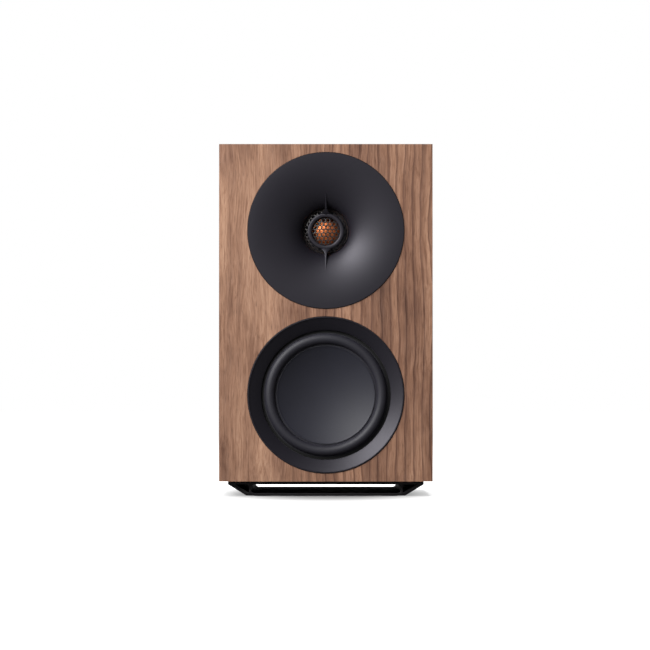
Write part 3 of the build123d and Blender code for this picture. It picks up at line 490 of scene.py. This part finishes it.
def woundCopper():
    # Enamelled copper wire laid in even turns: painted highlights on the crests and painted shade in the dark
    # brown grooves
    turnPitch = 0.5
    material, tree, shader, coords = startMaterial("enamelled copper winding", "#b8622f", 0.3, 1.0)
    turns = addNode(tree, "ShaderNodeTexWave", {"wave_type": "BANDS", "bands_direction": "Y"}, {
        "Vector": coords, "Scale": waveScale(turnPitch), "Distortion": 0.4})
    shade = setRamp(addNode(tree, "ShaderNodeValToRGB", inputs={"Fac": turns.outputs["Fac"]}),
                    [(0.0, "#5e2b12"), (0.45, "#b8622f"), (1.0, "#d9834a")])
    tree.links.new(shade, shader.inputs["Base Color"])
    bumpInto(tree, shader, turns.outputs["Fac"], 0.7, 0.2)
    return material


def wovenCotton():
    # Open cotton weave stiffened with phenolic resin: a tan grid of threads, dull and stiff
    threadPitch = 0.6
    material, tree, shader, coords = startMaterial("resin-treated cotton", "#a5823f", 0.75)
    threads = []
    for direction in ("X", "Z"):
        run = {"wave_type": "BANDS", "bands_direction": direction}
        wave = addNode(tree, "ShaderNodeTexWave", run, {
            "Vector": coords, "Scale": waveScale(threadPitch), "Distortion": 0.3})
        threads.append(wave.outputs["Fac"])
    weave = addNode(tree, "ShaderNodeMath", {"operation": "MULTIPLY"},
                    {0: threads[0], 1: threads[1]}).outputs[0]
    shade = setRamp(addNode(tree, "ShaderNodeValToRGB", inputs={"Fac": weave}),
                    [(0.0, "#5f4a22"), (0.6, "#b9954f")])
    tree.links.new(shade, shader.inputs["Base Color"])
    bumpInto(tree, shader, weave, 0.8, 0.2)
    return material


def tinselBraid():
    # Tinned copper strands braided round a cotton core, about four crossings to the millimetre; the strands
    # carry painted highlights in their middles and painted shade between them
    material, tree, shader, coords = startMaterial("tinned copper braid", "#c9c4b4", 0.35, 1.0)
    strands = addNode(tree, "ShaderNodeTexVoronoi", inputs={
        "Vector": patternSize(tree, coords, (0.25, 0.25, 0.4)), "Scale": 1.0})
    shade = setRamp(addNode(tree, "ShaderNodeValToRGB", inputs={"Fac": strands.outputs["Distance"]}),
                    [(0.0, "#ded9ca"), (0.8, "#77715f")])
    tree.links.new(shade, shader.inputs["Base Color"])
    bumpInto(tree, shader, strands.outputs["Distance"], 0.8, 0.1)
    return material


def polyesterWadding():
    # Bonded white fibre: soft, cloudy and matt
    material, tree, shader, coords = startMaterial("polyester wadding", "#e9e8e2", 0.95, Sheen_Weight=0.3)
    tufts = addNode(tree, "ShaderNodeTexNoise", inputs={
        "Vector": patternSize(tree, coords, (3, 3, 3)), "Scale": 1.0, "Detail": 5.0, "Roughness": 0.75})
    shade = setRamp(addNode(tree, "ShaderNodeValToRGB", inputs={"Fac": tufts.outputs["Fac"]}),
                    [(0.3, "#bdbcb6"), (0.7, "#f4f3ee")])
    tree.links.new(shade, shader.inputs["Base Color"])
    bumpInto(tree, shader, tufts.outputs["Fac"], 1.0, 1.2)
    return material


plainWalnut = walnutVeneer("walnut veneer")
frontWalnut = walnutVeneer("walnut veneer, baffle leaf", True)
finishes = {
    "raw_fibreboard": fibreboard(), "satin_black_moulding": mouldedAbs(), "black_wire_guard": guardCoatWithPaintedReflection(),
    "copper_dome": copperDome(), "black_rubber": nitrileRubber(), "coated_cone": coatedCone(),
    "black_cast_alloy": powderCoat(), "coil_copper": woundCopper(), "polyimide_former": amberFilm(),
    "treated_fabric": wovenCotton(), "zinc_plated_steel": zincPlate(), "ferrite": ferrite(),
    "plain_aluminium": turnedAluminium(), "black_screw": blackOxide(), "tinned_braid": tinselBraid(),
    "tinned_brass": tinPlate(), "gasket_foam": foamGasket(), "gold_plated_brass": goldPlate(),
    "red_plastic": redCap(), "black_plastic": blackCap(), "circuit_board": boardLaminate(),
    "film_capacitor_wrap": capacitorTape(), "capacitor_sleeve": capacitorSleeve(),
    "resistor_ceramic": castCement(), "wire_insulation": wireInsulation(), "wadding": polyesterWadding(),
    "anodised_foot": anodisedFoot(), "walnut_veneer": plainWalnut,
}
slotOf = {row["node"]: row["material_slot"] for row in frame["record"]["subparts"]}


def paint(thing, material):
    thing.data.materials.clear()
    thing.data.materials.append(material)


for nodeName, node in frame["nodes"].items():
    paint(node, finishes[slotOf[nodeName]])
paint(frame["nodes"]["front_baffle"], frontWalnut)
print("materials made")


# ---- shared shaping

def finishPiece(bm, name, body, slot, replaced=(), sharpAngle=38):
    bmesh.ops.remove_doubles(bm, verts=bm.verts, dist=1e-6)
    bmesh.ops.recalc_face_normals(bm, faces=bm.faces)
    for face in bm.faces:
        face.smooth = True
    for edge in bm.edges:
        edge.smooth = len(edge.link_faces) == 2 and edge.calc_face_angle(0) < math.radians(sharpAngle)
    mesh = bpy.data.meshes.new(name)
    bm.to_mesh(mesh)
    bm.free()
    piece = bpy.data.objects.new(name, mesh)
    bpy.context.collection.objects.link(piece)
    paint(piece, finishes[slot])
    if replaced:
        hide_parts(*replaced)
    if body:
        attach(piece, body)
    return piece


def arc(centre, across, deep, start, end, steps):
    # points of an ellipse's arc in radius and depth, in millimetres; 0 degrees points outwards, 90 forwards
    points = []
    for step in range(steps + 1):
        angle = math.radians(start + (end - start) * step / steps)
        points.append((centre[0] + across * math.cos(angle), centre[1] - deep * math.sin(angle)))
    return points


def turned(outline, height, steps=144, closed=True):
    # spins an outline of (radius, depth) in millimetres about the driver's axis
    bm = bmesh.new()
    verts = [bm.verts.new((radius * mm, frontY + depth * mm, height)) for radius, depth in outline]
    pairs = list(zip(verts, verts[1:])) + ([(verts[-1], verts[0])] if closed else [])
    edges = [bm.edges.new(pair) for pair in pairs]
    bmesh.ops.spin(bm, geom=verts + edges, cent=(0, 0, height), axis=(0, 1, 0), angle=2 * math.pi,
                   steps=steps, use_merge=True)
    bmesh.ops.remove_doubles(bm, verts=bm.verts, dist=1e-6)
    bmesh.ops.recalc_face_normals(bm, faces=bm.faces)
    return bm


def roundedMesh(nodeName, merge, angle, width, segments):
    # a merged copy of a CAD piece's mesh with the corners sharper than an angle rounded over
    bm = bmesh.new()
    bm.from_mesh(frame["nodes"][nodeName].data)
    bmesh.ops.remove_doubles(bm, verts=bm.verts, dist=merge)
    bmesh.ops.dissolve_limit(bm, angle_limit=math.radians(1), verts=bm.verts, edges=bm.edges)
    corners = [e for e in bm.edges if len(e.link_faces) == 2 and e.calc_face_angle(0) > math.radians(angle)]
    bmesh.ops.bevel(bm, geom=corners, offset=width * mm, affect="EDGES", segments=segments, profile=0.5,
                    material=-1, clamp_overlap=True)
    return bm


def addMesh(bm, extra):
    # joins a second shape into the first and frees it
    carrier = bpy.data.meshes.new("carrier")
    extra.to_mesh(carrier)
    extra.free()
    bm.from_mesh(carrier)
    bpy.data.meshes.remove(carrier)


def blendByRadius(piece, height, innerRadius, outerRadius):
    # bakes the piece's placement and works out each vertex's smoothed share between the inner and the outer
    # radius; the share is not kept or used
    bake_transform(piece)
    places = np.array([v.co for v in piece.data.vertices])
    radius = np.hypot(places[:, 0], places[:, 2] - height) / mm
    share = np.clip((outerRadius - radius) / (outerRadius - innerRadius), 0, 1)
    share = share * share * (3 - 2 * share)


# ---- horn, guard, phase ring and dome

# "shell" is the outline of the hidden back, in radius and depth
horn = {"lip": 72.3, "outer": 73.25, "proud": 0.8, "edge": 0.25, "throat": 21.5, "throatDepth": 21.5,
        "back": 26.0, "flange": 5.5,
        "shell": [(58.0, 5.5), (46.0, 8.6), (38.0, 13.0), (36.0, 15.0), (36.0, 26.0)]}


def makeHorn():
    reach = horn["lip"] - horn["throat"]
    flare = arc((horn["lip"], horn["throatDepth"]), reach, horn["throatDepth"] + horn["proud"], 180, 90, 56)
    rim = [(horn["outer"] - horn["edge"], -horn["proud"]), (horn["outer"], -horn["proud"] + horn["edge"]),
           (horn["outer"], horn["flange"])]
    outline = flare + rim + horn["shell"] + [(horn["throat"], horn["back"])]
    finishPiece(turned(outline, hornZ, 180), "hornMoulding", "cabinet", "satin_black_moulding",
                ("tweeter_waveguide",))


# "curve" is the radius the sheet is domed to and "edge" where its rim ring takes over
guard = {"pitch": 3.9, "strand": 0.78, "thick": 0.5, "apex": 16.8, "curve": 50.0, "edge": 20.6, "spill": 0.2,
         "rim": 21.3, "rimBack": 24.4, "rimProud": 0.35, "rimRound": 0.3, "rimShoulder": 0.2, "lap": 0.7}


def guardDepth(radius):
    return guard["apex"] + guard["curve"] - math.sqrt(guard["curve"] ** 2 - radius ** 2)


def makeGuard():
    bm = bmesh.new()
    cellRadius = guard["pitch"] / math.sqrt(3)
    cellsOut = math.ceil(guard["edge"] / guard["pitch"]) + 1
    for row in range(-cellsOut, cellsOut + 1):
        for column in range(-cellsOut, cellsOut + 1):
            x = (column + 0.5 * (row % 2)) * guard["pitch"]
            z = row * guard["pitch"] * math.sqrt(3) / 2
            if math.hypot(x, z) < guard["edge"] + guard["spill"]:
                bmesh.ops.create_circle(bm, cap_ends=True, segments=6, radius=cellRadius,
                                        matrix=Matrix.Translation((x, z, 0)))
    bmesh.ops.remove_doubles(bm, verts=bm.verts, dist=0.05)
    cells = list(bm.faces)
    bmesh.ops.inset_individual(bm, faces=cells, thickness=guard["strand"] / 2, use_even_offset=True)
    bmesh.ops.delete(bm, geom=cells, context="FACES")
    beyond = [f for f in bm.faces if f.calc_center_median().length > guard["edge"]]
    bmesh.ops.delete(bm, geom=beyond, context="FACES")
    for vert in bm.verts:
        radius = vert.co.length
        if radius > guard["edge"]:
            vert.co *= guard["edge"] / radius
            radius = guard["edge"]
        vert.co.z = guardDepth(radius)
    bmesh.ops.recalc_face_normals(bm, faces=bm.faces)
    bmesh.ops.solidify(bm, geom=bm.faces, thickness=guard["thick"])
    upright = Matrix.Rotation(math.radians(-90), 4, "X") @ Matrix.Scale(mm, 4)
    bmesh.ops.transform(bm, matrix=Matrix.Translation((0, frontY, hornZ)) @ upright, verts=bm.verts)
    front = guardDepth(guard["edge"]) - guard["rimProud"]
    inside = guard["edge"] - guard["lap"]
    rim = [(guard["rim"], front + guard["rimShoulder"]), (guard["rim"] - guard["rimRound"], front),
           (inside, front + guard["rimRound"]), (inside, guard["rimBack"]), (guard["rim"], guard["rimBack"])]
    addMesh(bm, turned(rim, hornZ, 96))
    piece = finishPiece(bm, "guardMesh", "cabinet", "black_wire_guard", ("tweeter_mesh",), 60)
    rounded = piece.modifiers.new("rounded", "SUBSURF")
    rounded.levels = 1
    rounded.render_levels = 1


# the two rounds are steps in radius and depth from the ring's front corners
phaseRing = {"inner": 13.4, "outer": 17.2, "front": 15.6, "back": 18.2, "tip": 37.0, "root": 2.3, "gap": 0.2,
             "innerRound": [(0.0, 0.6), (0.15, 0.25), (0.5, 0.0)],
             "outerRound": [(-1.0, 0.05), (-0.35, 0.3), (0.0, 0.9)],
             "finStart": 15.6, "stations": 26, "flareReach": 7.4, "flareHalf": 5.2, "flarePower": 2.6,
             "taper": 0.75, "thinnest": 0.10, "ridge": 0.35, "ridgeFall": 0.72, "wallFrom": 21.0,
             "backSlope": 0.24, "leastDeep": 0.12}


def hornDepth(radius, gap=0.0):
    # depth of the horn's wall at a radius, moved towards the axis by a gap
    reach = horn["lip"] - horn["throat"] + gap
    share = min(1.0, max(0.0, (horn["lip"] - radius) / reach))
    return horn["throatDepth"] - (horn["throatDepth"] + horn["proud"] + gap) * math.sqrt(1 - share * share)


def makePhaseRing():
    p = phaseRing
    outline = [(p["inner"] + radius, p["front"] + depth) for radius, depth in p["innerRound"]]
    outline += [(p["outer"] + radius, p["front"] + depth) for radius, depth in p["outerRound"]]
    ring = turned(outline + [(p["outer"], p["back"]), (p["inner"], p["back"])], hornZ, 120)
    ridge = p["front"] + p["ridge"]
    for direction in (1, -1):
        # a fin is a thin blade: a row of small sections from the ring out to its tip on the horn's wall
        sections = []
        for station in range(p["stations"] + 1):
            share = station / p["stations"]
            radius = p["finStart"] + (p["tip"] - p["finStart"]) * share
            flare = max(0.0, 1 - (radius - p["finStart"]) / p["flareReach"])
            half = p["root"] / 2 * (1 - share) ** p["taper"] + p["flareHalf"] * flare ** p["flarePower"]
            half += p["thinnest"]
            front = ridge + (hornDepth(p["tip"], p["gap"]) - ridge) * share ** p["ridgeFall"]
            rear = p["back"] + (radius - p["finStart"]) * p["backSlope"]
            if radius > p["wallFrom"]:
                rear = hornDepth(radius, p["gap"])
            rear = max(rear, front + p["leastDeep"])
            z = hornZ + direction * radius * mm
            shoulder = front + 0.25 * half
            corners = [(-half, rear), (-half * 0.9, shoulder), (0, front), (half * 0.9, shoulder),
                       (half, rear)]
            sections.append([ring.verts.new((x * mm, frontY + depth * mm, z)) for x, depth in corners])
        for before, after in zip(sections, sections[1:]):
            for a, b, c, d in zip(before, before[1:], after[1:], after):
                ring.faces.new((a, b, c, d))
            ring.faces.new((before[-1], before[0], after[0], after[-1]))
        ring.faces.new(sections[0])
        ring.faces.new(sections[-1])
    finishPiece(ring, "phaseRing", "cabinet", "satin_black_moulding", ("tweeter_phase_ring",), 50)


dome = {"radius": 12.7, "base": 24.0, "rise": 4.4, "thick": 0.3}


def makeDome():
    curve = (dome["radius"] ** 2 + dome["rise"] ** 2) / (2 * dome["rise"])
    halfAngle = math.degrees(math.asin(dome["radius"] / curve))
    centre = dome["base"] - dome["rise"] + curve
    front = arc((0, centre), curve, curve, 90 - halfAngle, 90, 20)
    back = arc((0, centre), curve - dome["thick"], curve - dome["thick"], 90, 90 - halfAngle, 20)
    finishPiece(turned(front + back, hornZ, 96), "domeCap", "tweeter_dome_assembly", "copper_dome",
                ("tweeter_dome",))


def halfRoll(roll, steps):
    # outline of a half roll between two flat lips, bulging forward
    frontRadius = (roll["outer"] - roll["inner"]) / 2
    rearRadius = frontRadius - roll["thick"]
    centre = ((roll["inner"] + roll["outer"]) / 2, roll["base"] + roll["thick"] / 2)
    front = arc(centre, frontRadius, frontRadius, 3, 177, steps)
    rear = arc(centre, rearRadius, rearRadius, 177, 3, steps)
    under = roll["base"] + roll["thick"]
    return ([(roll["lipOut"], roll["base"])] + front + [(roll["lipIn"], roll["base"]), (roll["lipIn"], under)]
            + rear + [(roll["lipOut"], under)])


tweeterRoll = {"inner": 12.9, "outer": 17.1, "lipIn": 12.75, "lipOut": 20.0, "base": 24.0, "thick": 0.4,
               "movesTo": 12.8}


def makeTweeterRoll():
    piece = finishPiece(turned(halfRoll(tweeterRoll, 14), hornZ, 96), "tweeterRoll", None, "black_rubber",
                        ("tweeter_surround",))
    blendByRadius(piece, hornZ, tweeterRoll["movesTo"], tweeterRoll["outer"])


makeHorn()
makeGuard()
makePhaseRing()
makeDome()
makeTweeterRoll()
print("horn and tweeter made")


# ---- woofer

# a rounded bead runs round the outside and a cone-shaped slope leads in from "slopeStart"
trim = {"outer": 73.25, "proud": 0.8, "edge": 0.3, "bead": 0.9, "beadFoot": (1.3, 0.5),
        "slopeStart": (72.0, 0.1), "inner": 60.9, "innerDepth": 6.4, "nose": (0.5, 0.25), "noseDrop": 0.2,
        "back": 7.8, "step": 4.2, "stepRadius": 69.4}


def makeTrim():
    t = trim
    bead = [(t["outer"], t["step"]), (t["outer"], -t["proud"] + t["edge"]),
            (t["outer"] - t["edge"], -t["proud"]), (t["outer"] - t["bead"], -t["proud"]),
            (t["outer"] - t["beadFoot"][0], -t["proud"] + t["beadFoot"][1])]
    nose = [(t["inner"] + t["nose"][0], t["innerDepth"] - t["nose"][1]),
            (t["inner"], t["innerDepth"] + t["noseDrop"]), (t["inner"], t["back"])]
    outline = bead + [t["slopeStart"]] + nose + [(t["stepRadius"], t["back"]), (t["stepRadius"], t["step"])]
    finishPiece(turned(outline, wooferZ, 180), "trimRing", "cabinet", "satin_black_moulding",
                ("woofer_trim_ring",), 20)


wooferRoll = {"inner": 47.6, "outer": 57.6, "lipIn": 46.4, "lipOut": 60.5, "base": 8.4, "thick": 0.7}


def makeWooferRoll():
    piece = finishPiece(turned(halfRoll(wooferRoll, 28), wooferZ, 180), "wooferRoll", None, "black_rubber",
                        ("woofer_surround",))
    blendByRadius(piece, wooferZ, wooferRoll["inner"], wooferRoll["outer"])


# "lip" is the raised lip and the flange under the surround, "neck" the collar on the coil former
cone = {"dish": 45.3, "edgeDepth": 8.4, "centreDepth": 18.4, "thick": 0.9,
        "lip": [(45.55, 8.15), (45.85, 8.02), (46.1, 8.08), (46.28, 8.3), (46.3, 9.2), (48.0, 9.2),
                (48.0, 10.0), (46.0, 10.0)],
        "neck": [(17.3, 17.8), (17.3, 21.5), (16.3, 21.5), (16.3, 18.0)]}


def dishPoints(shift, steps, outward):
    sag = cone["centreDepth"] - cone["edgeDepth"]
    curve = (cone["dish"] ** 2 + sag ** 2) / (2 * sag)
    points = []
    for step in range(steps + 1):
        radius = cone["dish"] * (step / steps if outward else 1 - step / steps)
        points.append((radius, cone["centreDepth"] - curve + math.sqrt(curve ** 2 - radius ** 2) + shift))
    return points


def makeCone():
    outline = dishPoints(0, 34, True) + cone["lip"] + dishPoints(cone["thick"], 34, False)
    bm = turned(outline, wooferZ, 160, closed=False)
    addMesh(bm, turned(cone["neck"], wooferZ, 96))
    finishPiece(bm, "dishCone", "woofer_cone_assembly", "coated_cone", ("woofer_cone",), 50)


spider = {"neck": 16.35, "inner": 18.5, "outer": 38.5, "rim": 43.4, "waves": 5, "height": 1.1, "depth": 33.8,
          "thick": 0.6, "movesTo": 18.0, "heldFrom": 39.0}


def makeSpider():
    waves, depth = spider["waves"], spider["depth"]
    steps = waves * 16
    crests = []
    for step in range(steps + 1):
        radius = spider["inner"] + (spider["outer"] - spider["inner"]) * step / steps
        crests.append((radius, depth - spider["height"] * math.sin(2 * math.pi * waves * step / steps)))
    front = [(spider["neck"], depth)] + crests + [(spider["rim"], depth)]
    rear = [(radius, d + spider["thick"]) for radius, d in reversed(front)]
    piece = finishPiece(turned(front + rear, wooferZ, 120), "spiderDisc", None, "treated_fabric",
                        ("woofer_spider",))
    blendByRadius(piece, wooferZ, spider["movesTo"], spider["heldFrom"])


def makeTinselLeads():
    # each lead hangs between a fixed terminal and the cone
    bm = bmesh.new()
    bm.from_mesh(frame["nodes"]["woofer_tinsel_leads"].data)
    piece = finishPiece(bm, "tinselBraids", None, "tinned_braid", ("woofer_tinsel_leads",), 80)
    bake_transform(piece)


makeTrim()
makeWooferRoll()
makeCone()
makeSpider()
makeTinselLeads()
print("woofer made")


# ---- back, foot and inside

# the bore opens out in a quarter round; "shell" is the flange's edge and the socket over the tube
port = {"bore": 22.0, "boreStart": 225.0, "round": 10.0, "roundDepth": 242.0,
        "shell": [(39.2, 252.0), (39.8, 251.7), (40.0, 251.1), (40.0, 250.0), (29.2, 250.0), (29.2, 235.0),
                  (26.45, 232.0), (26.45, 213.0), (24.05, 213.0), (24.05, 225.0)]}


def makePortMouth():
    centre = (port["bore"] + port["round"], port["roundDepth"])
    flare = arc(centre, port["round"], -port["round"], 180, 90, 16)
    outline = [(port["bore"], port["boreStart"])] + flare + port["shell"]
    finishPiece(turned(outline, portZ, 120), "portMouth", "cabinet", "satin_black_moulding", ("port_flare",))


wadding = {"rounding": 4.5, "cuts": 4, "facet": 9, "lump": 0.7, "lumpsPerMetre": 60}


def makeWadding():
    # batts with soft corners and a lumpy face, never past the CAD's own
    bm = roundedMesh("acoustic_wadding", 1e-5, 50, wadding["rounding"], 3)
    bmesh.ops.triangulate(bm, faces=bm.faces)
    for cut in range(wadding["cuts"]):
        longest = [e for e in bm.edges if e.calc_length() > wadding["facet"] * mm]
        bmesh.ops.subdivide_edges(bm, edges=longest, cuts=1)
        bmesh.ops.triangulate(bm, faces=bm.faces)
    bm.normal_update()
    for vert in bm.verts:
        lump = wadding["lump"] + wadding["lump"] * noise.noise(vert.co * wadding["lumpsPerMetre"])
        vert.co -= vert.normal * lump * mm
    piece = finishPiece(bm, "waddingBatts", "cabinet", "wadding", ("acoustic_wadding",), 180)


# CAD pieces whose hard corners are rounded over: node, body, width in mm, and the angle a corner starts at
softened = {
    "footRail": ("foot_frame", "cabinet", 0.35, 40),
    "redCap": ("red_thumb_nut", "red_nut", 0.25, 50),
    "blackCap": ("black_thumb_nut", "black_nut", 0.25, 50),
    "terminalTray": ("terminal_cup", "cabinet", 0.3, 50),
}

makePortMouth()
makeWadding()
for pieceName, (nodeName, body, width, angle) in softened.items():
    finishPiece(roundedMesh(nodeName, 2e-6, angle, width, 2), pieceName, body, slotOf[nodeName], (nodeName,))
print("back, foot and inside made")
